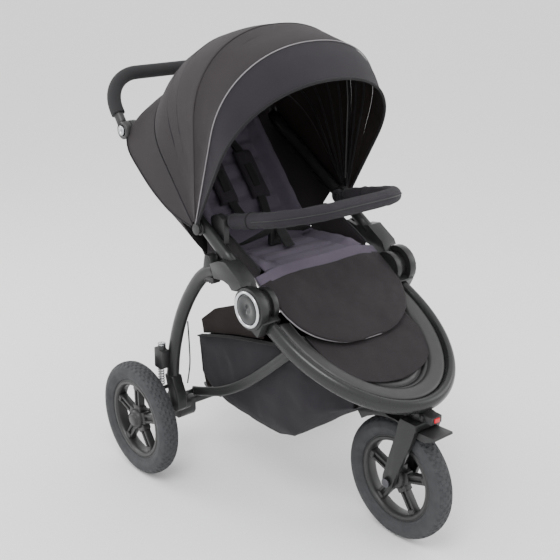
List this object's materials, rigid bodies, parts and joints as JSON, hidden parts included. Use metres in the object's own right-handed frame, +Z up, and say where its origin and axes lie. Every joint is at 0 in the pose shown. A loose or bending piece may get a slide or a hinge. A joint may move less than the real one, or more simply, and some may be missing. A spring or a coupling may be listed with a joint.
{
  "type": "pushchair",
  "caption": "Folding three-wheel pushchair with a fabric seat, folding canopy, bumper bar, tilting handle, footrest loop, basket and sprung rear axle.",
  "frame": {"origin": "on the floor, midway across and along the whole object", "axes": "+Z up, front towards -Y, +X to the seated child's left"},
  "size_m": [0.65, 0.9859, 1.1219],
  "materials": {
    "frame": "satin",
    "plastic": "satin",
    "tyre": "matte",
    "silver": "satin",
    "steel": "satin",
    "grip": "matte foam",
    "red": "gloss",
    "cloth": "plain weave",
    "insert": "quilted"
  },
  "bodies": {
    "front_frame": {"front_loop": "frame", "footrest_tray": "plastic", "footwell_cloth": "cloth", "calf_pad": "cloth", "steering_head": "plastic", "basket": "cloth", "right_hub_housing": "frame", "left_hub_housing": "frame", "right_hub_cap": "silver", "left_hub_cap": "silver"},
    "swivel_lock": {"swivel_lock_button": "red"},
    "fork": {"fork": "frame", "front_axle": "steel", "front_fender": "plastic"},
    "front_wheel": {"front_wheel_rim": "plastic", "front_wheel_tyre": "tyre"},
    "basket_bars": {"right_basket_bar": "frame", "left_basket_bar": "frame"},
    "upper_frame": {"right_hub_moulding": "frame", "left_hub_moulding": "frame", "right_upper_tube": "frame", "left_upper_tube": "frame", "right_handle_housing": "plastic", "left_handle_housing": "plastic", "right_canopy_pivot": "plastic", "left_canopy_pivot": "plastic", "right_bumper_mount": "plastic", "left_bumper_mount": "plastic", "seat_shell": "cloth", "seat_cushion": "insert", "crotch_buckle": "plastic", "canopy_rear": "cloth"},
    "buckle_release": {"buckle_button": "plastic"},
    "backrest": {"backrest_board": "cloth", "backrest_pad": "insert", "right_shoulder_pad": "cloth", "left_shoulder_pad": "cloth"},
    "canopy_mid": {"canopy_bow": "frame", "canopy_middle": "cloth"},
    "canopy_front": {"canopy_visor": "cloth", "canopy_forward": "cloth"},
    "bumper": {"bumper_bar": "cloth"},
    "handle": {"handle_bar": "frame", "handle_grip": "grip"},
    "right_handle_release": {"right_handle_button": "silver"},
    "left_handle_release": {"left_handle_button": "silver"},
    "rear_frame": {"right_rear_leg": "frame", "left_rear_leg": "frame", "right_spring_bracket": "plastic", "left_spring_bracket": "plastic", "right_spring": "steel", "left_spring": "steel"},
    "rear_axle": {"rear_axle_tube": "plastic", "right_swing_arm": "plastic", "left_swing_arm": "plastic"},
    "right_rear_wheel": {"right_rear_wheel_rim": "plastic", "right_rear_wheel_tyre": "tyre"},
    "left_rear_wheel": {"left_rear_wheel_rim": "plastic", "left_rear_wheel_tyre": "tyre"},
    "brake_pedal": {"brake_pedal": "plastic"}
  },
  "joints": [
    {"name": "frame_fold", "type": "hinge", "parent": "front_frame", "child": "upper_frame", "pos_m": [0, -0.101, 0.543], "axis": [-1, 0, 0], "range_deg": [0, 84], "deforming": ["basket"]},
    {"name": "rear_leg_fold", "type": "hinge", "parent": "upper_frame", "child": "rear_frame", "pos_m": [0, 0.052, 0.613], "axis": [1, 0, 0], "range_deg": [0, 44.52]},
    {"name": "basket_bar_fold", "type": "hinge", "parent": "front_frame", "child": "basket_bars", "pos_m": [0, -0.2, 0.46948], "axis": [-1, 0, 0], "range_deg": [0, 52.08]},
    {"name": "front_caster", "type": "hinge", "parent": "front_frame", "child": "fork", "pos_m": [0, -0.4, 0.312], "axis": [0, 0, 1], "continuous": true},
    {"name": "front_wheel_spin", "type": "hinge", "parent": "fork", "child": "front_wheel", "pos_m": [0, -0.346, 0.1475], "axis": [1, 0, 0], "continuous": true},
    {"name": "swivel_lock_slide", "type": "slide", "parent": "front_frame", "child": "swivel_lock", "axis": [0, 1, 0], "range_m": [0, 0.003], "stiffness_N_per_m": 300, "springref_m": -0.001},
    {"name": "recline", "type": "hinge", "parent": "upper_frame", "child": "backrest", "pos_m": [0, 0.146, 0.572], "axis": [-1, 0, 0], "range_deg": [0, 25]},
    {"name": "buckle_press", "type": "slide", "parent": "upper_frame", "child": "buckle_release", "axis": [0, 1, 0], "range_m": [0, 0.002], "stiffness_N_per_m": 300, "springref_m": -0.001},
    {"name": "canopy_fold", "type": "hinge", "parent": "upper_frame", "child": "canopy_mid", "pos_m": [0, 0.093, 0.679], "axis": [-1, 0, 0], "range_deg": [0, 38], "deforming": ["canopy_middle"]},
    {"name": "canopy_front_fold", "type": "hinge", "parent": "canopy_mid", "child": "canopy_front", "pos_m": [0, 0.093, 0.679], "axis": [-1, 0, 0], "range_deg": [0, 14.06], "deforming": ["canopy_forward"]},
    {"name": "bumper_tilt", "type": "hinge", "parent": "upper_frame", "child": "bumper", "pos_m": [0, 0.062, 0.692], "axis": [-1, 0, 0], "range_deg": [0, 60]},
    {"name": "handle_tilt", "type": "hinge", "parent": "upper_frame", "child": "handle", "pos_m": [0, 0.386, 0.861], "axis": [1, 0, 0], "range_deg": [-70, 15]},
    {"name": "right_handle_press", "type": "slide", "parent": "handle", "child": "right_handle_release", "axis": [1, 0, 0], "range_m": [0, 0.003], "stiffness_N_per_m": 300, "springref_m": -0.001},
    {"name": "left_handle_press", "type": "slide", "parent": "handle", "child": "left_handle_release", "axis": [-1, 0, 0], "range_m": [0, 0.003], "stiffness_N_per_m": 300, "springref_m": -0.001},
    {"name": "suspension", "type": "hinge", "parent": "rear_frame", "child": "rear_axle", "pos_m": [0, 0.205, 0.19], "axis": [1, 0, 0], "range_deg": [-2, 5], "stiffness_Nm_per_rad": 400, "springref_deg": -0.57, "deforming": ["right_spring", "left_spring"]},
    {"name": "right_wheel_spin", "type": "hinge", "parent": "rear_axle", "child": "right_rear_wheel", "pos_m": [-0.298, 0.277, 0.1475], "axis": [1, 0, 0], "continuous": true},
    {"name": "left_wheel_spin", "type": "hinge", "parent": "rear_axle", "child": "left_rear_wheel", "pos_m": [0.298, 0.277, 0.1475], "axis": [1, 0, 0], "continuous": true},
    {"name": "brake_press", "type": "hinge", "parent": "rear_axle", "child": "brake_pedal", "pos_m": [0, 0.277, 0.1475], "axis": [-1, 0, 0], "range_deg": [0, 20]}
  ],
  "couplings": [
    {"joint": "rear_leg_fold", "follows": "frame_fold", "ratio": 0.53},
    {"joint": "basket_bar_fold", "follows": "frame_fold", "ratio": 0.62},
    {"joint": "canopy_front_fold", "follows": "canopy_fold", "ratio": 0.37}
  ]
}
